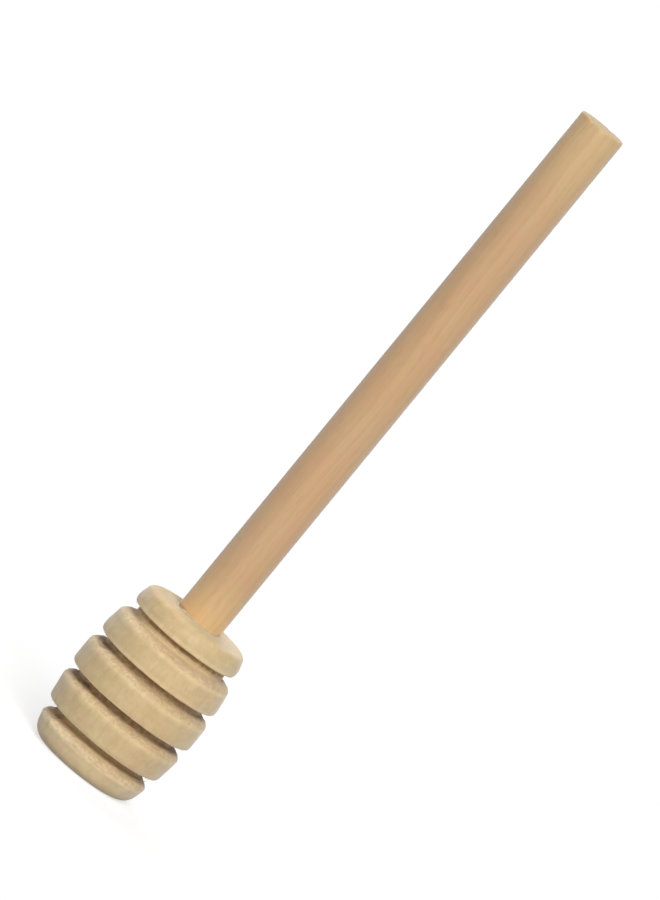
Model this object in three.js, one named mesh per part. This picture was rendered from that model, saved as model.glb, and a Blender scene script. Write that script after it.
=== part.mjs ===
// Honey dipper: a turned wooden head whose grooves pick up honey, glued on a plain dowel handle.
// Sizes are in millimetres and +Z is up. The origin is the centre of the head's flat base.
import * as THREE from "three";

// Handle dowel
const DOWEL_DIAMETER = 10;
const HANDLE_LENGTH = 122.5; // from the head's top face to the sawn end
const SEAT_DEPTH = 17; // length of dowel that sits inside the head
const END_EASE = 0.35; // broken edge round the sawn end
const SEAT_CHAMFER = 0.8; // lead-in on the end inside the head

// Turned head: a barrel cut into rings by grooves
const HEAD_DIAMETER = 28.4; // at the barrel's fullest point, halfway up
const BARREL_ARC_RADIUS = 58; // curve of the barrel's side
const BASE_RING_HEIGHT = 5.8;
const TOP_RING_HEIGHT = 4.4;
const RING_PITCH = 8.25; // from the underside of one ring to the underside of the next
const GROOVE_COUNT = 4;
const GROOVE_WIDTH = 1.6; // height of the groove's floor
const TOP_GROOVE_WIDTH = 2; // the groove under the top ring is wider than the others
const GROOVE_DEPTH = 2.8; // from the side of the ring below to the groove's floor

// Rounded edges of the rings
const BASE_ROUND = 3.1; // lower edge of the base ring
const CROWN_ROUND = 1.6; // upper edge of the top ring
const SHOULDER_HEIGHT = 1.7; // elliptical slope from a ring's side up to the groove's floor
const LIP_HEIGHT = 1.2; // elliptical lower edge of a ring above a groove
const LIP_INSET = 0.9; // how far that edge reaches inwards

// Socket and glue
const GLUE_FILM = 0.15; // glue round the dowel
const GLUE_PAD = 0.5; // glue under the dowel's end
const GLUE_CLEARANCE = 0.02; // between the glue and the wood on each side
const GLUE_BEAD = 0.4; // height of the bead that shows round the dowel on the top face
const MOUTH_CHAMFER = 0.4; // at the socket's mouth

// Facets
const TURN_STEPS = 40; // round the axis
const ROUND_STEPS = 4; // along each rounded edge
const RIM_STEPS = 2; // along each ring's side

const headWood = new THREE.MeshStandardMaterial({ color: 0xd6bb8f, roughness: 0.7, metalness: 0 });
const dowelWood = new THREE.MeshStandardMaterial({ color: 0xcda67c, roughness: 0.6, metalness: 0 });
const driedGlue = new THREE.MeshStandardMaterial({ color: 0xdccb9f, roughness: 0.4, metalness: 0 });

// Heights of the rings, counted from the base ring (0) to the top ring (GROOVE_COUNT)
const undersideOf = (ring) => (ring === 0 ? 0 : BASE_RING_HEIGHT + GROOVE_WIDTH + (ring - 1) * RING_PITCH);
const headHeight = undersideOf(GROOVE_COUNT) + TOP_RING_HEIGHT;
const grooveAbove = (ring) => (ring === GROOVE_COUNT - 1 ? TOP_GROOVE_WIDTH : GROOVE_WIDTH);
const topOf = (ring) => (ring === GROOVE_COUNT ? headHeight : undersideOf(ring + 1) - grooveAbove(ring));

const point = (radius, height) => new THREE.Vector2(radius, height);

// Barrel side: an arc whose centre lies across the axis, halfway up the head
const barrelCentre = point(HEAD_DIAMETER / 2 - BARREL_ARC_RADIUS, headHeight / 2);
const bearingAt = (height) => Math.asin((height - barrelCentre.y) / BARREL_ARC_RADIUS);
const sideAt = (height) => barrelCentre.x + BARREL_ARC_RADIUS * Math.cos(bearingAt(height));

// Socket in the head, and the glue that fills it round the dowel
const dowelRadius = DOWEL_DIAMETER / 2;
const seatHeight = headHeight - SEAT_DEPTH;
const glueBore = dowelRadius + GLUE_CLEARANCE;
const glueRadius = glueBore + GLUE_FILM;
const glueFoot = seatHeight - GLUE_CLEARANCE - GLUE_PAD;
const socketRadius = glueRadius + GLUE_CLEARANCE;
const socketFloor = glueFoot - GLUE_CLEARANCE;

// Points along part of an ellipse with one reach across and another up
function ellipse(centre, across, up, from, to, steps) {
  return Array.from({ length: steps + 1 }, (_, step) => {
    const angle = THREE.MathUtils.lerp(from, to, step / steps);
    return point(centre.x + across * Math.cos(angle), centre.y + up * Math.sin(angle));
  });
}

// Rounded edge of a ring, from the barrel's side, which it meets smoothly, to the level face above or below it
function ringEdge(face, inset, height, direction) {
  const centreHeight = face - direction * height;
  const tilt = bearingAt(centreHeight);
  const start = Math.atan2(height * Math.sin(tilt), inset * Math.cos(tilt));
  const rim = centreHeight + height * Math.sin(start);
  const centre = point(sideAt(rim) - inset * Math.cos(start), centreHeight);
  return { rim, outline: ellipse(centre, inset, height, start, (direction * Math.PI) / 2, ROUND_STEPS) };
}

const UP = 1;
const DOWN = -1;

function lowEdge(ring) {
  if (ring === 0) {
    return ringEdge(0, BASE_ROUND, BASE_ROUND, DOWN);
  }
  return ringEdge(undersideOf(ring), LIP_INSET, LIP_HEIGHT, DOWN);
}

function highEdge(ring) {
  if (ring === GROOVE_COUNT) {
    return ringEdge(headHeight, CROWN_ROUND, CROWN_ROUND, UP);
  }
  return ringEdge(topOf(ring), GROOVE_DEPTH, SHOULDER_HEIGHT, UP);
}

// Outline of one ring from its level underside, round its side, to its level top or the groove's floor
function ringOutline(ring) {
  const low = lowEdge(ring);
  const high = highEdge(ring);
  const [from, to] = [bearingAt(low.rim), bearingAt(high.rim)];
  const side = ellipse(barrelCentre, BARREL_ARC_RADIUS, BARREL_ARC_RADIUS, from, to, RIM_STEPS);
  return [...low.outline.reverse(), ...side.slice(1, -1), ...high.outline];
}

// A solid of revolution about +Z from an outline of (radius, height) points
function turned(name, outline, material) {
  const mesh = new THREE.Mesh(new THREE.LatheGeometry(outline, TURN_STEPS).rotateX(Math.PI / 2), material);
  mesh.name = name;
  return mesh;
}

// The rings one on another, each with the floor of the groove above it, then the socket from its mouth down
function dipperHead() {
  const outline = [point(0, 0)];
  for (let ring = 0; ring < GROOVE_COUNT; ring += 1) {
    outline.push(...ringOutline(ring));
    outline.push(point(outline.at(-1).x, undersideOf(ring + 1)));
  }
  outline.push(
    ...ringOutline(GROOVE_COUNT),
    point(socketRadius + MOUTH_CHAMFER, headHeight),
    point(socketRadius, headHeight - MOUTH_CHAMFER),
    point(socketRadius, socketFloor),
    point(0, socketFloor),
  );
  return turned("dipper_head", outline, headWood);
}

// The dowel in its own frame, seat end at zero
function handleDowel() {
  const length = SEAT_DEPTH + HANDLE_LENGTH;
  const outline = [
    point(0, 0),
    point(dowelRadius - SEAT_CHAMFER, 0),
    point(dowelRadius, SEAT_CHAMFER),
    point(dowelRadius, length - END_EASE),
    point(dowelRadius - END_EASE, length),
    point(0, length),
  ];
  const dowel = turned("handle_dowel", outline, dowelWood);
  dowel.position.z = seatHeight;
  return dowel;
}

// The glue is a thin cup, which fills the socket and its mouth and ends in a bead against the dowel
function socketGlue() {
  const mouth = headHeight - glueFoot;
  const outline = [
    point(0, 0),
    point(glueRadius, 0),
    point(glueRadius, mouth - MOUTH_CHAMFER),
    point(glueRadius + MOUTH_CHAMFER, mouth),
    point(glueBore, mouth + GLUE_BEAD),
    point(glueBore, GLUE_PAD + SEAT_CHAMFER),
    point(glueBore - SEAT_CHAMFER, GLUE_PAD),
    point(0, GLUE_PAD),
  ];
  const glue = turned("socket_glue", outline, driedGlue);
  glue.position.z = glueFoot;
  return glue;
}

const honeyDipper = new THREE.Group();
honeyDipper.name = "honey_dipper";
honeyDipper.add(dipperHead(), handleDowel(), socketGlue());

export default honeyDipper;
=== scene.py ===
"""Honey dipper: finished wood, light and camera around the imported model. Metres, +Z up along the handle."""
import math

import bpy
import numpy as np
from mathutils import Matrix, Vector


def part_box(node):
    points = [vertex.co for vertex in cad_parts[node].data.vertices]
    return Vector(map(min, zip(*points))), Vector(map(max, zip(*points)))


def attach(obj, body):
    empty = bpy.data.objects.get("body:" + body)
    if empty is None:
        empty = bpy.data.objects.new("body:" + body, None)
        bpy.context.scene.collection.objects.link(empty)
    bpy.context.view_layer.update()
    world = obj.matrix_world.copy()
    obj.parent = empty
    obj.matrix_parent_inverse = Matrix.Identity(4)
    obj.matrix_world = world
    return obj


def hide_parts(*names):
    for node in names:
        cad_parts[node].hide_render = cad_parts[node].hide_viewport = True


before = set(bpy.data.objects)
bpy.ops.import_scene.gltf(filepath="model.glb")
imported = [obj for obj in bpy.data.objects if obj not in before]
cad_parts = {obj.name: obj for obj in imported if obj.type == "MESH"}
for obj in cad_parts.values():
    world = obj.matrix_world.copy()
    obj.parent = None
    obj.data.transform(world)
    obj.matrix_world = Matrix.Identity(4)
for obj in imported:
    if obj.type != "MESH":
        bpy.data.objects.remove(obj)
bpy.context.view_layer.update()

MM = 0.001

# The photograph's view: the dipper stands upright here, and the camera is rolled to lay it across the picture
IMAGE_HEIGHT = 900  # pixels, of a picture 660 wide
SENSOR = 36.0  # millimetres along the picture's height
PIXELS_PER_METRE = 5238.0  # at the aim point
CAMERA_AIM = Vector((-1.30, 0.0, 77.98)) * MM
CAMERA_DISTANCE = 2.2
CAMERA_ELEVATION = math.radians(7.05)
CAMERA_ROLL = math.radians(39.32)  # how far the handle leans to the right in the picture

# Light, where 1 from a lamp or the world shows a colour that faces it about as it is written
KEY_LEVEL = 0.705
KEY_BEARING = (10.0, 36.0)  # degrees to the right of the camera and above the floor
KEY_SPREAD = math.radians(26)
TOP_LEVEL = 0.1
TOP_BEARING = (20.0, 70.0)
TOP_SPREAD = math.radians(35)
BACK_LEVEL = 0.25
BACK_BEARING = (-150.0, 50.0)
BACK_SPREAD = math.radians(40)
SKY_LEVEL = 0.165

# Floor
FLOOR_SIDE = 60.0
FLOOR_LEVEL = -0.02 * MM  # just clear of the base
FLOOR_GLOW = 0.68  # white that the camera sees at any light
FLOOR_SHADE = 0.42  # share of the light, and so of the shadow, that the camera sees
FLOOR_BOUNCE = (0.54, 0.54, 0.54)

# Sizes from here on are in millimetres. These come from the model
HEAD_RADIUS, _, HEAD_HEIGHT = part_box("dipper_head")[1] / MM
DOWEL_RADIUS, _, HANDLE_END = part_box("handle_dowel")[1] / MM
SEAT_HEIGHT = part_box("handle_dowel")[0].z / MM

# Turned head
BARREL_ARC = 58.0
BASE_RING = 5.8
RING_PITCH = 8.25
GROOVES = 4
GROOVE_WIDTH = 1.6
TOP_GROOVE_WIDTH = 2.0
GROOVE_DEPTH = 2.8
BASE_ROUND = 3.1
CROWN_ROUND = 1.6
SHOULDER_HEIGHT = 1.7
LIP_HEIGHT = 1.2
LIP_INSET = 0.9
LIP_CRISPNESS = 3.0  # power of the lip's curve, where 2 is an ellipse and more is squarer
LIP_DROP = 0.08  # how far torn fibre lowers the lip
COVES = (1.3, 0.5, 0.5, 0.5)  # round between the shoulder and the floor of the groove above each ring
UP, DOWN = 1, -1

# Socket and glue
GLUE_CLEARANCE = 0.02
GLUE_FILM = 0.15
GLUE_PAD = 0.5
GLUE_BEAD = 0.4
BEAD_STEPS = 7
BEAD_FULLNESS = 0.55  # how full the bead is on average, from 0 to 1
BEAD_UNEVENNESS = 0.22
LEAST_FULLNESS = 0.15
FULL_BEAD = (236.0, 22.0)  # degrees round the axis where the bead is full, and how widely
BEAD_SPREAD = 0.35  # how far fullness moves the outer edge of the bead
STILL_FULLNESS = 0.5  # at which that edge stays where it is
MOUTH_CHAMFER = 0.4
GLUE_BORE = DOWEL_RADIUS + GLUE_CLEARANCE
GLUE_RADIUS = GLUE_BORE + GLUE_FILM
GLUE_FOOT = SEAT_HEIGHT - GLUE_CLEARANCE - GLUE_PAD
SOCKET_RADIUS = GLUE_RADIUS + GLUE_CLEARANCE
SOCKET_FLOOR = GLUE_FOOT - GLUE_CLEARANCE

# Fineness of the turned meshes
HEAD_SEGMENTS = 320
DOWEL_SEGMENTS = 192
GLUE_SEGMENTS = 160
FINE_STEP = 0.2
SMOOTH_STEP = 0.45  # on the sides of the rings and the top face
COARSE_STEP = 1.2
SAME_POINT = 1e-6

# Seeds of all that is random
HEAD_SEED = 11
DOWEL_SEED = 23
GLUE_SEED = 41
FIBRE_SEED = 37

# How far the random relief is smooth, in rows along the outline and columns round the axis
FINE_FUZZ = (1.2, 1.6)
COARSE_FUZZ = (2.5, 4.0)
CHIP_SPREAD = (1.5, 2.2)
RIPPLE_SPREAD = (1.0, 60.0)
FINE_DOWEL_SPREAD = (30.0, 2.5)
BROAD_DOWEL_SPREAD = (40.0, 12.0)
SAW_WANDER_SPREAD = (4.0, 6.0)
UNEVEN_BEAD_SPREAD = (1.0, 6.0)

# Paler parts of the head, painted light: reflected floor light near the base and glare on the top face
FLOOR_REFLECTION_REACH = 13.0  # how far up from its base the head is paler with painted reflected floor light
TOP_FACE_HEIGHTS = (HEAD_HEIGHT - 0.7, HEAD_HEIGHT - 0.05)  # where the crown turns into the top face
GLARE_FROM = (4.5, 7.5)  # how far to the right the painted glare on the top face starts, and is full

# Torn grain, fibres and painted shade on the ring edges and in the grooves
TORN_DEPTH = 0.035
CHIP_DEPTH = 0.14
CHIP_RARITY = 2.0  # deviations of the noise above which the grain is chipped out
RIM_RIPPLE = 0.008
RIPPLE_LEVEL = 2.0  # deviations of the noise that lie level with the solid
FIBRES_PER_GROOVE = 60
FIBRES_PER_CLUMP = 34
FIBRE_CLUMPS = ((1, 222.0), (2, 212.0), (0, 318.0), (3, 205.0), (2, 40.0), (1, 100.0))  # ring below, degrees
CLUMP_WIDTH = 9.0  # degrees
FIBRE_LENGTH = (0.25, 1.1)
FIBRE_SHORTNESS = 3  # power that makes most fibres short
FIBRE_RADIUS = (0.02, 0.045)
CLUMP_FIBRE_RADIUS = (0.05, 0.12)
FIBRE_ROOT = 2  # how deep a fibre starts in the wood, in its greatest radii
FIBRE_LEAN = (0.2, 0.3)  # outwards, mean and deviation
FIBRE_SWAY = 0.4  # sideways, deviation
FIBRE_CURL = 0.4  # deviation
FIBRE_BEND = 0.4  # share of its length by which a curl of 1 turns the tip
FIBRE_TAPER = 0.8
FIBRES_FROM_LIPS = 0.5  # share of the fibres
FIBRE_REACH = 0.99  # of the head's radius
# Each torn spot, a dent darkened with painted shade: ring below, degrees round the axis, width and strength
TORN_SPOTS = ((1, 216.0, 1.5, 1.5), (0, 210.0, 2.4, 0.5), (2, 209.0, 2.2, 0.4))
SPOT_HEIGHT = 0.6  # above and below the edge of the groove's floor
SPOT_DEPTH = 0.2
# Painted shade that a torn spot adds
SPOT_SHADE = 3.0
SPOT_RAGGEDNESS = 0.6
# Degrees round the axis, and how much painted highlight pales the torn grain there (first table) and how much
# the painted shade in the groove fades there (second table)
HIGHLIGHT_QUARTERS = ((226.0, 0.6), (46.0, 0.45))
FAINTER_SHADE_QUARTERS = ((318.0, 0.3), (100.0, 0.2))
QUARTER_WIDTH = math.radians(30)

# Handle dowel
END_EASE = 0.35
SEAT_CHAMFER = 0.8
SAW_SKEW = math.radians(0.9)
SKEW_REACH = 2.0  # length of dowel that takes up the skew
SAW_RIDGE = 0.012
SAW_PITCH = 0.5
SAW_BEARING = math.radians(28)
DOWEL_RIPPLE = 0.012
FINE_RIPPLE = 0.5  # height of the fine ripples, as a share of the broad ones
PALE_FOOT = 13.0  # how far above the head the dowel is paler
PALE_END = 26.0  # how far below its sawn end it is paler
FOOT_DARKENING = (HEAD_HEIGHT + 0.9, HEAD_HEIGHT + 0.3)  # heights between which the dowel darkens
DARKENED_SIDES = ((-0.45, -0.8), (0.82, 0.97))  # where that happens across the dowel, in radii
# Each nick: degrees round the axis, width and depth
END_NICKS = (
    (-117.0, 0.4, 0.3), (-85.0, 0.45, 0.26), (-40.0, 0.3, 0.15), (70.0, 0.5, 0.25), (150.0, 0.35, 0.2),
)
NICK_REACH = 1.4  # away from the edge, in widths
NICK_INWARDS, NICK_DOWN = 0.6, 0.8  # how a nick moves the edge, in depths


def ellipse(centre, across, up, start, end, step=FINE_STEP, power=2.0):
    """Points along part of an ellipse in the (radius, height) plane, made squarer by a power above 2."""
    count = max(3, math.ceil(abs(end - start) * max(across, up) / step))
    angle = np.linspace(start, end, count + 1)
    turn = np.column_stack([np.cos(angle), np.sin(angle)])
    return centre + np.array([across, up]) * np.sign(turn) * np.abs(turn) ** (2 / power)


def line(start, end, step=FINE_STEP):
    """Points along a straight stretch in the (radius, height) plane."""
    count = max(1, math.ceil(math.dist(start, end) / step))
    return np.linspace(start, end, count + 1)


HEIGHT, PAINTED_SHADE = 1, 3  # columns of an outline, which are radius, height, torn, painted shade, and wear with painted highlight


def columns_of(outline):
    """Radius, height, torn, painted shade, and wear with painted highlight along an outline, each as a
    column.
    """
    return np.hsplit(outline, outline.shape[1])


def stretch(points, torn=(0.0,), painted_shade=(0.0,), wear_and_highlight=(0.0,)):
    """Outline points with three marks, each given by values spaced evenly along the stretch."""
    share = np.linspace(0, 1, len(points))
    marks = [np.interp(share, np.linspace(0, 1, len(mark)), mark) for mark in (torn, painted_shade, wear_and_highlight)]
    return np.column_stack([points, *marks])


def joined(stretches):
    """One outline from stretches that meet end to end, without their doubled points."""
    outline = np.vstack(stretches)
    apart = np.linalg.norm(np.diff(outline[:, :2], axis=0), axis=1) > SAME_POINT
    return outline[np.concatenate([[True], apart])]


# How the wood's surface changes along each stretch of an outline, in the direction of the outline. Painted
# shade darkens the grooves and the lips' undersides; the paler edges are wear and painted highlight
BASE_FLAT_MARKS = {"torn": (0.1,)}
BASE_MARKS = {"torn": (0.1, 0.0)}
# Lips, the upper edges of the sides, the crown and the top face are paler with wear and painted highlight
LIP_MARKS = {"torn": (0.3, 0.1, 0.0, 0.0), "wear_and_highlight": (1.0, 1.0, 1.0, 1.0, 1.0, 0.6, 0.2, 0.0, 0.0)}
SIDE_MARKS = {"wear_and_highlight": (0.0, 0.0, 0.0, 0.0, 0.0, 0.0, 0.0, 0.15, 0.4)}
SHOULDER_MARKS = {
    "torn": (0.0, 0.9, 1.0, 0.9, 0.4),
    "wear_and_highlight": (0.5, 0.05, 0.0, 0.0, 0.0),
    "painted_shade": (0.0, 0.0, 0.0, 0.15, 0.35),
}
CROWN_MARKS = {"torn": (0.0, 0.15), "wear_and_highlight": (0.0, 0.1, 0.2)}
TOP_FACE_MARKS = {"torn": (0.15, 0.0), "wear_and_highlight": (0.1, 0.1)}
# Painted shade in the cove, on the floor and under the lip of each groove
COVE_MARKS = {"torn": (0.4, 0.5), "painted_shade": (0.35, 0.55)}
FLOOR_MARKS = {"torn": (0.5, 0.4), "painted_shade": (0.5, 0.7, 0.95, 1.0, 1.0)}
UNDERSIDE_MARKS = {"torn": (0.4,), "painted_shade": (1.0, 0.6, 0.1)}
SHADE_FADE = (4.0, 0.7, 0.85, 3.6)  # how steeply the painted shade fades, in the groove above each ring
END_EDGE_MARKS = {"torn": (0.2, 1.0)}
SAWN_FACE_MARKS = {"torn": (1.0, 0.7)}


class Barrel:
    """The head's rings: heights and edge rounds on one barrel-shaped side."""

    def __init__(self, radius, height):
        self.height = height
        self.centre = (radius - BARREL_ARC, height / 2)

    def underside(self, ring):
        return 0.0 if ring == 0 else BASE_RING + GROOVE_WIDTH + (ring - 1) * RING_PITCH

    def groove_width(self, ring):
        return TOP_GROOVE_WIDTH if ring == GROOVES - 1 else GROOVE_WIDTH

    def top(self, ring):
        return self.height if ring == GROOVES else self.underside(ring + 1) - self.groove_width(ring)

    def bearing(self, height):
        return math.asin((height - self.centre[1]) / BARREL_ARC)

    def side(self, height):
        return self.centre[0] + BARREL_ARC * math.cos(self.bearing(height))

    def edge(self, face, inset, height, direction, power=2.0):
        """A ring's rounded edge: the height where it meets the side, and its points on to the level face."""
        middle = face - direction * height
        slope = height / inset * math.tan(self.bearing(middle))
        start = math.atan(math.copysign(abs(slope) ** (power / (2 * power - 2)), slope))
        points = ellipse((0.0, middle), inset, height, start, direction * math.pi / 2, power=power)
        rim = points[0, 1]
        return rim, points + (self.side(rim) - points[0, 0], 0.0)

    def low_edge(self, ring):
        if ring == 0:
            return self.edge(0.0, BASE_ROUND, BASE_ROUND, DOWN)
        return self.edge(self.underside(ring) - LIP_DROP, LIP_INSET, LIP_HEIGHT, DOWN, LIP_CRISPNESS)

    def high_edge(self, ring):
        if ring == GROOVES:
            return self.edge(self.height, CROWN_ROUND, CROWN_ROUND, UP)
        return self.edge(self.top(ring), GROOVE_DEPTH, SHOULDER_HEIGHT, UP)

    def ring_outline(self, ring):
        """A ring from its level underside, round its side, to its level top or the cove above it."""
        low_rim, low = self.low_edge(ring)
        high_rim, high = self.high_edge(ring)
        if ring < GROOVES:
            high = high[high[:, 0] > high[-1, 0] + COVES[ring]]
        rims = self.bearing(low_rim), self.bearing(high_rim)
        side = ellipse(self.centre, BARREL_ARC, BARREL_ARC, *rims, SMOOTH_STEP)
        low_marks = BASE_MARKS if ring == 0 else LIP_MARKS
        high_marks = CROWN_MARKS if ring == GROOVES else SHOULDER_MARKS
        side_marks = {} if ring == GROOVES else SIDE_MARKS
        outline = [stretch(low[::-1], **low_marks), stretch(side, **side_marks), stretch(high, **high_marks)]
        # The painted shade on the shoulder fades as in its groove
        if ring < GROOVES:
            outline[-1][:, PAINTED_SHADE] **= SHADE_FADE[ring]
        return outline

    def groove_outline(self, ring):
        """The groove above a ring: the cove, the floor, then the underside of the next ring."""
        floor = self.high_edge(ring)[1][-1]
        lip = self.low_edge(ring + 1)[1][-1]
        corner = (floor[0], lip[1])
        cove = ellipse(floor + COVES[ring], COVES[ring], COVES[ring], -math.pi / 2, -math.pi)
        outline = [
            stretch(cove, **COVE_MARKS), stretch(line(cove[-1], corner), **FLOOR_MARKS),
            stretch(line(corner, lip), **UNDERSIDE_MARKS),
        ]
        # Painted shade fades down the groove
        for part in outline:
            part[:, PAINTED_SHADE] **= SHADE_FADE[ring]
        return outline

    def outline(self):
        """The whole head from the middle of its base round to the middle of the socket's floor."""
        base_flat = self.low_edge(0)[1][-1]
        crown_flat = self.high_edge(GROOVES)[1][-1]
        mouth = (SOCKET_RADIUS + MOUTH_CHAMFER, self.height)
        chamfer_foot = (SOCKET_RADIUS, self.height - MOUTH_CHAMFER)
        socket_corner = (SOCKET_RADIUS, SOCKET_FLOOR)
        stretches = [stretch(line((0, 0), base_flat, COARSE_STEP), **BASE_FLAT_MARKS)]
        for ring in range(GROOVES):
            stretches += self.ring_outline(ring) + self.groove_outline(ring)
        stretches += self.ring_outline(GROOVES) + [
            stretch(line(crown_flat, mouth, SMOOTH_STEP), **TOP_FACE_MARKS),
            stretch(line(mouth, chamfer_foot)),
            stretch(line(chamfer_foot, socket_corner, COARSE_STEP)),
            stretch(line(socket_corner, (0, SOCKET_FLOOR), COARSE_STEP)),
        ]
        return joined(stretches)


def soft_noise(rng, shape, spread):
    """Random field that wraps at its edges, smooth over spread cells along each axis, of unit deviation."""
    rows = np.fft.fftfreq(shape[0])[:, None] * spread[0]
    columns = np.fft.fftfreq(shape[1])[None, :] * spread[1]
    keep = np.exp(-2 * np.pi**2 * (rows**2 + columns**2))
    field = np.fft.ifft2(np.fft.fft2(rng.standard_normal(shape)) * keep).real
    return field / field.std()


def outline_normals(outline):
    """Unit normals that point out of the solid, for an outline that runs out along the base and then up."""
    along = np.gradient(outline[:, :2], axis=0)
    normal = np.column_stack([along[:, 1], -along[:, 0]])
    return normal / np.linalg.norm(normal, axis=1)[:, None]


def turn_angles(segments):
    return np.linspace(0, 2 * np.pi, segments, endpoint=False)


def turned_points(outline, relief):
    """Grid of points, rows along the outline and columns round the axis, pushed out by the relief."""
    angle = turn_angles(relief.shape[1])
    normal = outline_normals(outline)
    radius, height, *_ = columns_of(outline)
    radius = radius + relief * normal[:, :1]
    height = height + relief * normal[:, 1:]
    return np.stack([radius * np.cos(angle), radius * np.sin(angle), height + 0 * angle], axis=2)


def grid_faces(rows, columns):
    """Quads of a grid that closes round the axis, with a fan on the pole before and the pole after it."""
    here = np.arange(columns)
    after = (here + 1) % columns
    start = 1 + columns * np.arange(rows)[:, None]
    low, high = start[:-1], start[1:]
    quads = np.stack([low + here, low + after, high + after, high + here], axis=2).reshape(-1, 4)
    last = rows * columns + 1
    fan_before = np.column_stack([0 * here, 1 + after, 1 + here])
    fan_after = np.column_stack([0 * here + last, start[-1] + here, start[-1] + after])
    return fan_before.tolist() + quads.tolist() + fan_after.tolist()


def mesh_piece(name, vertices, faces):
    """Smooth mesh object from points in millimetres."""
    mesh = bpy.data.meshes.new(name)
    mesh.from_pydata((np.asarray(vertices) * MM).tolist(), [], faces)
    mesh.shade_smooth()
    piece = bpy.data.objects.new(name, mesh)
    bpy.context.scene.collection.objects.link(piece)
    return piece


def closed_turning(name, points, poles, marks):
    """Mesh object from a grid of points, the two points where it meets the axis and its marks."""
    rows, columns = points.shape[:2]
    vertices = np.vstack([poles[0], points.reshape(-1, 3), poles[1]])
    piece = mesh_piece(name, vertices, grid_faces(rows, columns))
    for mark, values in marks.items():
        grid = np.broadcast_to(values, (rows, columns)).ravel()
        spread = np.concatenate([grid[:1], grid, grid[-1:]])
        piece.data.attributes.new(mark, "FLOAT", "POINT").data.foreach_set("value", spread.astype(np.float32))
    return piece


def hump(value, middle, width):
    return np.exp(-(((value - middle) / width) ** 2))


def turn_away(angle, degrees):
    """How far round the axis angles are from a bearing, in radians on either side of it."""
    return (angle - math.radians(degrees) + np.pi) % (2 * np.pi) - np.pi


def make_head(barrel):
    """The turned head: crisp rims, edges paler with wear and painted highlight, and torn end grain with
    painted shade towards the grooves.
    """
    outline = barrel.outline()
    inner = outline[1:-1]
    rng = np.random.default_rng(HEAD_SEED)
    shape = (len(inner), HEAD_SEGMENTS)
    radius, height, torn, painted_shade, wear_and_highlight = columns_of(inner)
    fuzz = soft_noise(rng, shape, FINE_FUZZ) + soft_noise(rng, shape, COARSE_FUZZ)
    chips = np.clip(soft_noise(rng, shape, CHIP_SPREAD) - CHIP_RARITY, 0, 1)
    ripple = np.minimum(soft_noise(rng, shape, RIPPLE_SPREAD) - RIPPLE_LEVEL, 0)
    relief = torn * (TORN_DEPTH * fuzz - CHIP_DEPTH * chips) + (1 - torn) * RIM_RIPPLE * ripple
    angle = turn_angles(HEAD_SEGMENTS)
    # Painted highlight: the torn grain paler and whiter at these quarters
    for degrees, paler in HIGHLIGHT_QUARTERS:
        wear_and_highlight = wear_and_highlight + paler * torn * hump(turn_away(angle, degrees), 0, QUARTER_WIDTH)
    # Painted shade in the grooves is fainter at these quarters
    for degrees, fainter in FAINTER_SHADE_QUARTERS:
        painted_shade = painted_shade * (1 - fainter * hump(turn_away(angle, degrees), 0, QUARTER_WIDTH))
    ragged = np.clip(1 + SPOT_RAGGEDNESS * fuzz, 0, 2)
    # Torn spots: dents with painted shade in them
    for ring, degrees, width, strength in TORN_SPOTS:
        across = turn_away(angle, degrees) * HEAD_RADIUS
        spot = strength * torn * ragged * hump(across, 0, width) * hump(height, barrel.top(ring), SPOT_HEIGHT)
        relief -= SPOT_DEPTH * spot
        painted_shade = painted_shade + SPOT_SHADE * spot
    in_socket = (radius < SOCKET_RADIUS + MOUTH_CHAMFER + FINE_STEP) & (height > SOCKET_FLOOR - FINE_STEP)
    points = turned_points(inner, np.where(in_socket, 0, relief))
    points[:, :, 2] = np.clip(points[:, :, 2], 0, None)
    poles = [(0, 0, outline[0, HEIGHT]), (0, 0, outline[-1, HEIGHT])]
    return closed_turning("turned_head", points, poles, {"torn": torn, "painted_shade": painted_shade, "wear_and_highlight": wear_and_highlight})


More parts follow.
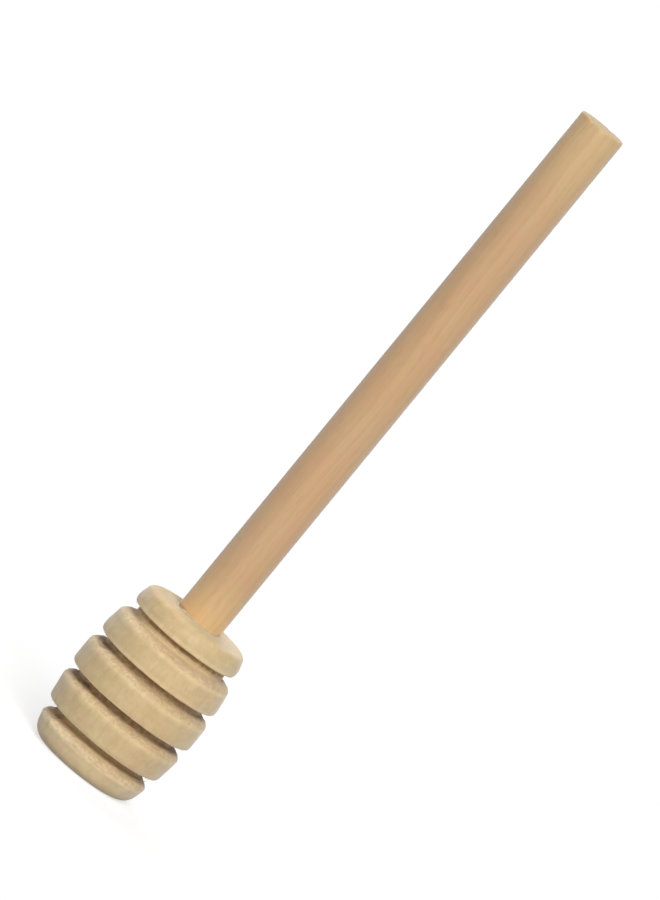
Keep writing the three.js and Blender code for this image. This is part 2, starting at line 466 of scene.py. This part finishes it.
def make_dowel():
    """The handle: shallow ripples along the grain, a chamfered foot and a sawn, skew end with nicks."""
    ease_centre = (DOWEL_RADIUS - END_EASE, HANDLE_END - END_EASE)
    foot = (DOWEL_RADIUS - SEAT_CHAMFER, SEAT_HEIGHT)
    shaft_start = (DOWEL_RADIUS, SEAT_HEIGHT + SEAT_CHAMFER)
    skew_start = (DOWEL_RADIUS, HANDLE_END - SKEW_REACH)
    eased_edge = ellipse(ease_centre, END_EASE, END_EASE, 0, math.pi / 2, FINE_STEP / 2)
    outline = joined([
        stretch(line((0, SEAT_HEIGHT), foot, COARSE_STEP)),
        stretch(line(foot, shaft_start)),
        stretch(line(shaft_start, skew_start, COARSE_STEP)),
        stretch(line(skew_start, (DOWEL_RADIUS, HANDLE_END - END_EASE))),
        stretch(eased_edge, **END_EDGE_MARKS),
        stretch(line((DOWEL_RADIUS - END_EASE, HANDLE_END), (0, HANDLE_END)), **SAWN_FACE_MARKS),
    ])
    inner = outline[1:-1]
    radius, height, torn, *_ = columns_of(inner)
    rng = np.random.default_rng(DOWEL_SEED)
    shape = (len(inner), DOWEL_SEGMENTS)
    angle = turn_angles(DOWEL_SEGMENTS)
    side_relief = FINE_RIPPLE * soft_noise(rng, shape, FINE_DOWEL_SPREAD)
    side_relief = side_relief + soft_noise(rng, shape, BROAD_DOWEL_SPREAD)
    across_saw = radius * np.cos(angle - SAW_BEARING)
    wander = soft_noise(rng, shape, SAW_WANDER_SPREAD)
    saw_relief = np.sin(2 * np.pi * across_saw / SAW_PITCH + wander) - 1
    points = turned_points(inner, (1 - torn) * DOWEL_RIPPLE * side_relief + torn * SAW_RIDGE * saw_relief)
    edge_distance = np.hypot(radius - DOWEL_RADIUS, height - HANDLE_END)
    for bearing, width, depth in END_NICKS:
        across = turn_away(angle, bearing) * DOWEL_RADIUS
        dent = depth * hump(across, 0, width) * hump(edge_distance, 0, NICK_REACH * width)
        points[:, :, 0] -= NICK_INWARDS * dent * np.cos(angle)
        points[:, :, 1] -= NICK_INWARDS * dent * np.sin(angle)
        points[:, :, 2] -= NICK_DOWN * dent
    near_end = np.clip(1 - (HANDLE_END - height) / SKEW_REACH, 0, 1)
    points[:, :, 2] -= near_end * (DOWEL_RADIUS + points[:, :, 0]) * math.tan(SAW_SKEW)
    poles = [(0, 0, SEAT_HEIGHT), (0, 0, HANDLE_END - DOWEL_RADIUS * math.tan(SAW_SKEW))]
    return closed_turning("handle_stick", points, poles, {"torn": torn})


def make_glue():
    """The glue: a thin cup in the socket, and an uneven bead where it was pressed out round the dowel."""
    mouth = HEAD_HEIGHT - GLUE_CLEARANCE
    seat = SEAT_HEIGHT - GLUE_CLEARANCE
    bead = np.linspace(0, math.pi / 2, BEAD_STEPS + 1)
    bead_width = MOUTH_CHAMFER + GLUE_FILM
    bead_curve = np.column_stack([
        GLUE_BORE + bead_width * (1 - np.sin(bead)),
        HEAD_HEIGHT + GLUE_CLEARANCE + GLUE_BEAD * (1 - np.cos(bead)),
    ])
    outline = joined([
        stretch(line((0, GLUE_FOOT), (GLUE_RADIUS, GLUE_FOOT), COARSE_STEP)),
        stretch(line((GLUE_RADIUS, GLUE_FOOT), (GLUE_RADIUS, mouth - MOUTH_CHAMFER), COARSE_STEP)),
        stretch(line((GLUE_RADIUS, mouth - MOUTH_CHAMFER), (GLUE_RADIUS + MOUTH_CHAMFER, mouth))),
        stretch(bead_curve),
        stretch(line(bead_curve[-1], (GLUE_BORE, seat + SEAT_CHAMFER), COARSE_STEP)),
        stretch(line((GLUE_BORE, seat + SEAT_CHAMFER), (GLUE_BORE - SEAT_CHAMFER, seat))),
        stretch(line((GLUE_BORE - SEAT_CHAMFER, seat), (0, seat), COARSE_STEP)),
    ])
    inner = outline[1:-1]
    radius, height, *_ = columns_of(inner)
    rng = np.random.default_rng(GLUE_SEED)
    points = turned_points(inner, np.zeros((len(inner), GLUE_SEGMENTS)))
    angle = turn_angles(GLUE_SEGMENTS)
    uneven = soft_noise(rng, (1, GLUE_SEGMENTS), UNEVEN_BEAD_SPREAD)[0]
    fullness = np.clip(BEAD_FULLNESS + BEAD_UNEVENNESS * uneven, LEAST_FULLNESS, 1.0)
    fullness = np.maximum(fullness, hump(np.degrees(angle), *FULL_BEAD))
    proud = np.clip(height - HEAD_HEIGHT - GLUE_CLEARANCE, 0, None)
    on_bead = (height > HEAD_HEIGHT) & (radius > GLUE_BORE + SAME_POINT)
    points[:, :, 2] -= proud * (1 - fullness)
    spread = (radius - GLUE_BORE) / bead_width * BEAD_SPREAD * (fullness - STILL_FULLNESS)
    creep = np.where(on_bead, spread, 0)
    points[:, :, 0] += creep * np.cos(angle)
    points[:, :, 1] += creep * np.sin(angle)
    poles = [(0, 0, GLUE_FOOT), (0, 0, seat)]
    return closed_turning("glue_line", points, poles, {})


def hair(root, heading, curl, length, thickness, sides=4, joints=4):
    """Points and faces of one tapered fibre, closed at its root and its tip."""
    first = np.cross(heading, (heading[1], heading[2], heading[0]))
    first /= np.linalg.norm(first)
    second = np.cross(heading, first)
    spin = turn_angles(sides)[:, None]
    ring = first * np.cos(spin) + second * np.sin(spin)
    points = []
    for share in np.arange(joints) / joints:
        middle = root + length * (heading * share + FIBRE_BEND * curl * share**2)
        points.append(middle + ring * thickness * (1 - FIBRE_TAPER * share))
    points = np.vstack(points + [[root + length * (heading + FIBRE_BEND * curl)]])
    faces = [tuple(reversed(range(sides)))]
    for joint in range(joints - 1):
        low, high = joint * sides, (joint + 1) * sides
        faces += [(low + s, low + (s + 1) % sides, high + (s + 1) % sides, high + s) for s in range(sides)]
    last, tip = (joints - 1) * sides, joints * sides
    faces += [(last + s, last + (s + 1) % sides, tip) for s in range(sides)]
    return points, faces


def make_fibres(barrel):
    """Short torn fibres that stand along the grain from the lips and shoulders into the grooves."""
    rng = np.random.default_rng(FIBRE_SEED)
    places = [
        (ring, rng.uniform(0, 360), FIBRE_RADIUS) for ring in range(GROOVES) for _ in range(FIBRES_PER_GROOVE)
    ]
    for ring, middle in FIBRE_CLUMPS:
        places += [
            (ring, rng.normal(middle, CLUMP_WIDTH), CLUMP_FIBRE_RADIUS) for _ in range(FIBRES_PER_CLUMP)
        ]
    vertices, faces = [], []
    for ring, degrees, thickness in places:
        from_lip = rng.random() < FIBRES_FROM_LIPS
        edge = barrel.low_edge(ring + 1)[1] if from_lip else barrel.high_edge(ring)[1]
        up = DOWN if from_lip else UP
        radius, height = edge[rng.integers(len(edge) // 2, len(edge))]
        bearing = math.radians(degrees)
        out = np.array([math.cos(bearing), math.sin(bearing), 0.0])
        aside = np.array([-math.sin(bearing), math.cos(bearing), 0.0])
        root = out * radius + np.array([0, 0, height - up * FIBRE_ROOT * thickness[1]])
        heading = np.array([0, 0, up]) + rng.normal(*FIBRE_LEAN) * out + rng.normal(0, FIBRE_SWAY) * aside
        heading /= np.linalg.norm(heading)
        length = FIBRE_LENGTH[0] + (FIBRE_LENGTH[1] - FIBRE_LENGTH[0]) * rng.random() ** FIBRE_SHORTNESS
        points, loops = hair(root, heading, rng.normal(0, FIBRE_CURL, 3), length, rng.uniform(*thickness))
        reach = np.hypot(points[:, 0], points[:, 1])[:, None]
        points[:, :2] *= np.minimum(1, FIBRE_REACH * HEAD_RADIUS / reach)
        faces += [tuple(len(vertices) + corner for corner in loop) for loop in loops]
        vertices += points.tolist()
    return mesh_piece("groove_fibres", vertices, faces)


class Graph:
    """A tree of shader nodes, written as calls that each add one node and give back its output."""

    def __init__(self, owner):
        owner.use_nodes = True
        self.tree = owner.node_tree
        self.tree.nodes.clear()

    def add(self, kind, inputs=(), **settings):
        node = self.tree.nodes.new(kind)
        for setting, value in settings.items():
            setattr(node, setting, value)
        for socket, value in dict(inputs).items():
            if isinstance(value, bpy.types.NodeSocket):
                self.tree.links.new(value, node.inputs[socket])
            else:
                node.inputs[socket].default_value = value
        return node

    def math(self, operation, first, second=0.0):
        return self.add("ShaderNodeMath", {0: first, 1: second}, operation=operation).outputs[0]

    def vector(self, operation, first, second):
        return self.add("ShaderNodeVectorMath", {0: first, 1: second}, operation=operation).outputs[0]

    def length(self, vector):
        return self.add("ShaderNodeVectorMath", {0: vector}, operation="LENGTH").outputs["Value"]

    def place(self):
        """Where on the object a point is, in millimetres."""
        return self.vector("MULTIPLY", self.add("ShaderNodeTexCoord").outputs["Object"], (1 / MM,) * 3)

    def noise(self, place, scale, detail=2.0, roughness=0.5, output="Fac"):
        stretched = self.vector("MULTIPLY", place, scale)
        inputs = {"Vector": stretched, "Scale": 1.0, "Detail": detail, "Roughness": roughness}
        return self.add("ShaderNodeTexNoise", inputs).outputs[output]

    def remap(self, value, low, high, to_low=0.0, to_high=1.0):
        inputs = {"Value": value, "From Min": low, "From Max": high, "To Min": to_low, "To Max": to_high}
        return self.add("ShaderNodeMapRange", inputs, interpolation_type="SMOOTHSTEP").outputs["Result"]

    def mix(self, factor, first, second, blend="MIX"):
        """Two colours mixed, by the node's sockets for colours."""
        node = self.add("ShaderNodeMix", {0: factor, 6: first, 7: second}, data_type="RGBA", blend_type=blend)
        return node.outputs[2]

    def tint(self, factor, colour, by):
        """The colour multiplied by another, as far as the factor says."""
        return self.mix(factor, colour, by, "MULTIPLY")

    def mark(self, name):
        return self.add("ShaderNodeAttribute", attribute_name=name, attribute_type="GEOMETRY").outputs["Fac"]

    def background_seen(self):
        """1 for rays that show the background itself: from the camera, a mirror or glass."""
        path = self.add("ShaderNodeLightPath").outputs
        seen = self.math("MAXIMUM", path["Is Camera Ray"], path["Is Glossy Ray"])
        return self.math("MAXIMUM", seen, path["Is Transmission Ray"])


# Patterns of noise: how often they repeat per millimetre along X, Y and Z, their detail and their roughness
SWAY_PATTERN = (0.05, 0.05, 0.015), 1.0
BLUSH_PATTERN = (0.1, 0.1, 0.05), 2.0
CLOUD_PATTERN = (0.5, 0.5, 0.55), 3.0, 0.6
WARMTH_PATTERN = (0.3, 0.3, 0.42), 2.0, 0.6
DOWEL_WARMTH_PATTERN = (0.35, 0.35, 0.22), 2.0, 0.6
MOTTLE_PATTERN = (1.3, 1.3, 2.0), 4.0, 0.65
RAGGED_PATTERN = (0.9, 0.9, 0.9), 3.0, 0.65
TOOL_PATTERN = (0.12, 0.12, 1.6), 2.0, 0.6
GLUE_PATTERN = (0.8, 0.8, 0.8), 3.0

# Patterns along the fibres, each with the levels of the noise at which it starts and is full
FIBRE_PATTERNS = {
    "streak": (((1.3, 1.3, 0.02), 3.0, 0.6), (0.25, 0.75)),
    "fibre": (((6.0, 6.0, 0.12), 3.0, 0.65), (0.25, 0.75)),
    "vessel": (((7.5, 7.5, 0.3), 1.0), (0.6, 0.74)),
    "fleck": (((1.9, 3.2, 0.4), 0.0), (0.64, 0.74)),
    "pores": (((5.0, 5.0, 0.8), 2.0), (0.42, 0.7)),
}

# Levels between which a pattern or a mark changes the wood
SOFT_LEVELS = (0.3, 0.7)
CLEAR_LEVELS = (0.35, 0.65)
BLUSH_LEVELS = (0.35, 0.7)
LATE_WOOD = (0.35, 0.93)  # shares of a growth ring
END_GRAIN_LEVELS = (0.45, 0.95)  # of how squarely the surface cuts across the fibres
RAGGED_LEVELS = (0.0, 0.25)
# Levels of the painted shade in the grooves, and of its deepest part
PAINTED_SHADE_LEVELS = (0.1, 1.1)
DEEP_SHADE_LEVELS = (1.2, 2.2)

# How strongly they do so, how rough the surfaces are, and the colours of the glue
SWAY_REACH = 5.0
MOST_BLUSH = 0.6
TORN_SHARE = 0.8
RAGGEDNESS = 1.6
FIBRE_RELIEF = 0.3
VESSEL_RELIEF = 0.5
TOOL_RELIEF = 0.5
MOTTLE_RELIEF = 1.4
BUMP_DEPTH = 0.05
WOOD_ROUGHNESS = (0.48, 0.64)
TORN_ROUGHNESS = 0.1
GLUE_ROUGHNESS = (0.3, 0.5)
GLUE_COLOURS = (0.66, 0.5, 0.29, 1), (0.56, 0.4, 0.21, 1)


def new_material(name):
    material = bpy.data.materials.new(name)
    return material, Graph(material)


def grain_figures(g, place, pith, ring_width):
    """Figures of solid wood, grain along Z: growth rings about a far pith, and what runs along the fibres."""
    sway = g.vector("SUBTRACT", g.noise(place, *SWAY_PATTERN, output="Color"), (0.5, 0.5, 0.5))
    grain = g.vector("ADD", place, g.vector("MULTIPLY", sway, (SWAY_REACH, SWAY_REACH, 0.0)))
    from_pith = g.length(g.vector("MULTIPLY", g.vector("SUBTRACT", grain, (*pith, 0.0)), (1.0, 1.0, 0.0)))
    year = g.math("FRACT", g.math("DIVIDE", from_pith, ring_width))
    figures = {"late": g.math("MULTIPLY", g.remap(year, *LATE_WOOD), g.remap(year, 1.0, LATE_WOOD[1]))}
    for figure, (pattern, levels) in FIBRE_PATTERNS.items():
        figures[figure] = g.remap(g.noise(grain, *pattern), *levels)
    return figures


# Tints of the head and the dowel. A pair lies at the two ends of a pattern or a fade
CLOUD_TINTS = (0.945, 0.93, 0.9, 1), (1.045, 1.055, 1.065, 1)
WARMTH_TINTS = (1.02, 0.985, 0.985, 1), (0.99, 1.005, 0.95, 1)
# Painted reflected floor light, paler towards the base
FLOOR_REFLECTION_TINT = (1.1, 1.15, 1.27, 1)
# Wear and painted highlight on the edges
WEAR_AND_HIGHLIGHT_TINT = (1.46, 1.53, 1.65, 1)
# Top face: a yellower front and painted glare to the right
TOP_FACE_AND_GLARE_TINTS = (1.0, 0.99, 0.86, 1), (1.17, 1.24, 1.4, 1)
TORN_TINTS = (0.77, 0.745, 0.76, 1), (1.05, 1.05, 1.11, 1)
# Painted shade in the grooves and under the lips, and its deepest part
PAINTED_SHADE_TINT = (0.52, 0.41, 0.29, 1)
DEEP_SHADE_TINT = (0.45, 0.42, 0.45, 1)
DOWEL_WARMTH_TINTS = (1.015, 0.98, 0.985, 1), (0.99, 1.01, 0.98, 1)
PALE_FOOT_TINT = (1.17, 1.24, 1.14, 1)
PALE_END_TINT = (1.08, 1.16, 1.1, 1)
FOOT_DARKENED_TINT = (0.62, 0.57, 0.5, 1)
SAWN_TINT = (1.0, 1.06, 1.01, 1)
END_GRAIN_TINTS = (1.0, 1.0, 1.0, 1), (0.92, 0.9, 0.88, 1)


def turned_finish(g, place, along, colour, height):
    """The head: soft patches, painted floor light on the base, painted glare on the top face, edges paler
    with wear and painted highlight, torn grain and painted shade in the grooves.
    """
    cloud = g.remap(g.noise(place, *CLOUD_PATTERN), *SOFT_LEVELS)
    colour = g.tint(1.0, colour, g.mix(cloud, *CLOUD_TINTS))
    warmth = g.remap(g.noise(place, *WARMTH_PATTERN), *CLEAR_LEVELS)
    colour = g.tint(1.0, colour, g.mix(warmth, *WARMTH_TINTS))
    # Painted reflected floor light: paler and bluer towards the base
    colour = g.tint(g.remap(along, FLOOR_REFLECTION_REACH, 0.0), colour, FLOOR_REFLECTION_TINT)
    # Edges paler with wear and painted highlight
    colour = g.tint(g.mark("wear_and_highlight"), colour, WEAR_AND_HIGHLIGHT_TINT)
    # Top face: yellower at the front, with painted glare towards the right
    on_top = g.remap(along, *TOP_FACE_HEIGHTS)
    across = g.add("ShaderNodeSeparateXYZ", {0: place}).outputs["X"]
    top_face_glare = g.mix(g.remap(across, *GLARE_FROM), *TOP_FACE_AND_GLARE_TINTS)
    colour = g.tint(on_top, colour, top_face_glare)

    torn = g.mark("torn")
    mottle = g.noise(place, *MOTTLE_PATTERN)
    torn_shade = g.mix(g.remap(mottle, *CLEAR_LEVELS), *TORN_TINTS)
    colour = g.tint(g.math("MULTIPLY", torn, TORN_SHARE), colour, torn_shade)
    # Painted shade: the grooves and the lips' undersides darkened where shade falls, with a ragged edge,
    # deepest under the lips
    painted_shade = g.mark("painted_shade")
    ragged = g.math("SUBTRACT", g.noise(place, *RAGGED_PATTERN), 0.5)
    ragged = g.math("MULTIPLY", ragged, g.remap(painted_shade, *RAGGED_LEVELS, 0.0, RAGGEDNESS))
    shaded = g.math("ADD", painted_shade, ragged)
    colour = g.tint(g.remap(shaded, *PAINTED_SHADE_LEVELS), colour, PAINTED_SHADE_TINT)
    colour = g.tint(g.remap(shaded, *DEEP_SHADE_LEVELS), colour, DEEP_SHADE_TINT)

    tool = g.noise(place, *TOOL_PATTERN)
    height = g.math("ADD", height, g.math("MULTIPLY", tool, TOOL_RELIEF))
    rugged = g.math("MULTIPLY", g.math("MULTIPLY", mottle, torn), MOTTLE_RELIEF)
    return colour, g.math("ADD", height, rugged)


def dowel_finish(g, place, along, colour, height):
    """The dowel: soft warm patches, paler towards the head and the sawn end, and darker at its sides just
    above the head.
    """
    warmth = g.remap(g.noise(place, *DOWEL_WARMTH_PATTERN), *CLEAR_LEVELS)
    colour = g.tint(1.0, colour, g.mix(warmth, *DOWEL_WARMTH_TINTS))
    colour = g.tint(g.remap(along, HEAD_HEIGHT + PALE_FOOT, HEAD_HEIGHT), colour, PALE_FOOT_TINT)
    colour = g.tint(g.remap(along, HANDLE_END - PALE_END, HANDLE_END), colour, PALE_END_TINT)
    across = g.add("ShaderNodeSeparateXYZ", {0: place}).outputs["X"]
    sides = [g.remap(across, start * DOWEL_RADIUS, end * DOWEL_RADIUS) for start, end in DARKENED_SIDES]
    at_sides = g.math("MAXIMUM", *sides)
    colour = g.tint(g.math("MULTIPLY", g.remap(along, *FOOT_DARKENING), at_sides), colour, FOOT_DARKENED_TINT)
    return g.tint(g.mark("torn"), colour, SAWN_TINT), height


def wood_material(name, pale, dark, blush, pith, ring_width, depths, finish):
    """Solid wood with the grain along Z, from a pale and a dark tone, with a finish of its own on top."""
    material, g = new_material(name)
    place = g.place()
    along = g.add("ShaderNodeSeparateXYZ", {0: place}).outputs["Z"]
    figures = grain_figures(g, place, pith, ring_width)
    tone = 0.0
    for figure, depth in depths.items():
        tone = g.math("ADD", g.math("MULTIPLY", figures[figure], depth), tone)
    colour = g.mix(tone, (*pale, 1), (*dark, 1))
    patch = g.noise(place, *BLUSH_PATTERN)
    colour = g.tint(g.remap(patch, *BLUSH_LEVELS, 0.0, MOST_BLUSH), colour, (*blush, 1))

    # End grain shows pores where the surface cuts across the fibres
    normal = g.add("ShaderNodeTexCoord").outputs["Normal"]
    facing = g.math("ABSOLUTE", g.add("ShaderNodeSeparateXYZ", {0: normal}).outputs["Z"])
    end_shade = g.mix(figures["pores"], *END_GRAIN_TINTS)
    colour = g.tint(g.remap(facing, *END_GRAIN_LEVELS), colour, end_shade)

    raised = g.math("MULTIPLY", figures["fibre"], FIBRE_RELIEF)
    height = g.math("SUBTRACT", raised, g.math("MULTIPLY", figures["vessel"], VESSEL_RELIEF))
    colour, height = finish(g, place, along, colour, height)
    bump = g.add("ShaderNodeBump", {"Strength": 0.5, "Distance": BUMP_DEPTH * MM, "Height": height})
    rough = g.remap(figures["fibre"], 0, 1, *WOOD_ROUGHNESS)
    rough = g.math("ADD", rough, g.math("MULTIPLY", g.mark("torn"), TORN_ROUGHNESS))
    surface = g.add("ShaderNodeBsdfPrincipled", {
        "Base Color": colour, "Roughness": rough, "Normal": bump.outputs["Normal"], "Specular IOR Level": 0.5,
        "Sheen Weight": 0.45,
    })
    g.add("ShaderNodeOutputMaterial", {"Surface": surface.outputs["BSDF"]})
    return material


def glue_material():
    """Dried glue: pale amber, cloudy and half glossy."""
    material, g = new_material("pale_glue")
    cloud = g.noise(g.place(), *GLUE_PATTERN)
    colour = g.mix(g.remap(cloud, *SOFT_LEVELS), *GLUE_COLOURS)
    rough = g.remap(cloud, *SOFT_LEVELS, *GLUE_ROUGHNESS)
    surface = g.add("ShaderNodeBsdfPrincipled", {"Base Color": colour, "Roughness": rough})
    g.add("ShaderNodeOutputMaterial", {"Surface": surface.outputs["BSDF"]})
    return material


def floor_material():
    """White paper that the camera sees near white, with the shadow kept."""
    material, g = new_material("white_paper")
    glow = g.add("ShaderNodeEmission", {"Color": (1, 1, 1, 1), "Strength": FLOOR_GLOW})
    shade = g.add("ShaderNodeBsdfDiffuse", {"Color": (FLOOR_SHADE,) * 3 + (1,)})
    shown = g.add("ShaderNodeAddShader", {0: glow.outputs[0], 1: shade.outputs[0]})
    bounce = g.add("ShaderNodeBsdfDiffuse", {"Color": (*FLOOR_BOUNCE, 1)})
    choice = {0: g.background_seen(), 1: bounce.outputs[0], 2: shown.outputs[0]}
    surface = g.add("ShaderNodeMixShader", choice)
    g.add("ShaderNodeOutputMaterial", {"Surface": surface.outputs[0]})
    return material


def make_floor():
    mesh = bpy.data.meshes.new("floor")
    half = FLOOR_SIDE / 2
    corners = [(x, y, FLOOR_LEVEL) for x, y in ((-half, -half), (half, -half), (half, half), (-half, half))]
    mesh.from_pydata(corners, [], [(0, 1, 2, 3)])
    mesh.materials.append(floor_material())
    floor = bpy.data.objects.new("floor", mesh)
    bpy.context.scene.collection.objects.link(floor)


def make_lamp(name, level, bearing, spread):
    """A wide, even lamp. Bearing is degrees to the right of the camera and degrees above the floor."""
    lamp = bpy.data.lights.new(name, "SUN")
    lamp.energy = level * math.pi
    lamp.angle = spread
    right, up = (math.radians(degrees) for degrees in bearing)
    back = Vector((math.sin(right) * math.cos(up), -math.cos(right) * math.cos(up), math.sin(up)))
    piece = bpy.data.objects.new(name, lamp)
    piece.rotation_euler = back.to_track_quat("Z", "Y").to_euler()
    piece.location = back
    bpy.context.scene.collection.objects.link(piece)


def make_world():
    """Even light from all round, which the camera sees as white."""
    world = bpy.data.worlds.new("studio")
    g = Graph(world)
    sky = g.add("ShaderNodeBackground", {"Color": (1, 1, 1, 1), "Strength": SKY_LEVEL})
    white = g.add("ShaderNodeBackground", {"Color": (1, 1, 1, 1), "Strength": 1.0})
    shown = g.add("ShaderNodeMixShader", {0: g.background_seen(), 1: sky.outputs[0], 2: white.outputs[0]})
    g.add("ShaderNodeOutputWorld", {"Surface": shown.outputs[0]})
    bpy.context.scene.world = world


def make_camera():
    data = bpy.data.cameras.new("photograph_view")
    data.sensor_width = SENSOR
    data.lens = SENSOR * PIXELS_PER_METRE * CAMERA_DISTANCE / IMAGE_HEIGHT
    data.clip_end = 2 * FLOOR_SIDE
    up = Vector((0, math.sin(CAMERA_ELEVATION), math.cos(CAMERA_ELEVATION)))
    right = Vector((1, 0, 0))
    back = right.cross(up)
    picture_right = right * math.cos(CAMERA_ROLL) + up * math.sin(CAMERA_ROLL)
    picture_up = up * math.cos(CAMERA_ROLL) - right * math.sin(CAMERA_ROLL)
    turn = Matrix((picture_right, picture_up, back)).transposed().to_4x4()
    camera = bpy.data.objects.new("photograph_view", data)
    camera.matrix_world = Matrix.Translation(CAMERA_AIM + back * CAMERA_DISTANCE) @ turn
    bpy.context.scene.collection.objects.link(camera)
    bpy.context.scene.camera = camera


def dress(piece, material, slot, *nodes):
    """Finishes a piece: its material, the nodes it stands for and its body. The slot is not used."""
    piece.data.materials.append(material)
    if nodes:
        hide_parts(*nodes)
    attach(piece, "root")


make_camera()
make_world()
make_lamp("key", KEY_LEVEL, KEY_BEARING, KEY_SPREAD)
make_lamp("top", TOP_LEVEL, TOP_BEARING, TOP_SPREAD)
make_lamp("back", BACK_LEVEL, BACK_BEARING, BACK_SPREAD)
make_floor()

head_wood = wood_material(
    "pale_turned_wood", pale=(0.705, 0.534, 0.298), dark=(0.555, 0.395, 0.195), blush=(1.0, 0.95, 0.9),
    pith=(46.0, -38.0), ring_width=2.3, finish=turned_finish,
    depths={"late": 0.12, "streak": 0.13, "fibre": 0.19, "vessel": 0.16, "fleck": 0.16},
)
dowel_wood = wood_material(
    "warm_dowel_wood", pale=(0.665, 0.43, 0.233), dark=(0.52, 0.305, 0.146), blush=(1.0, 0.94, 0.88),
    pith=(-31.0, -22.0), ring_width=1.9, finish=dowel_finish,
    depths={"late": 0.15, "streak": 0.15, "fibre": 0.16, "vessel": 0.14, "fleck": 0.16},
)
barrel = Barrel(HEAD_RADIUS, HEAD_HEIGHT)
dress(make_head(barrel), head_wood, "head_wood", "dipper_head")
dress(make_fibres(barrel), head_wood, "head_wood")
dress(make_dowel(), dowel_wood, "dowel_wood", "handle_dowel")
dress(make_glue(), glue_material(), "dried_glue", "socket_glue")

bpy.context.scene.view_settings.view_transform = "Standard"
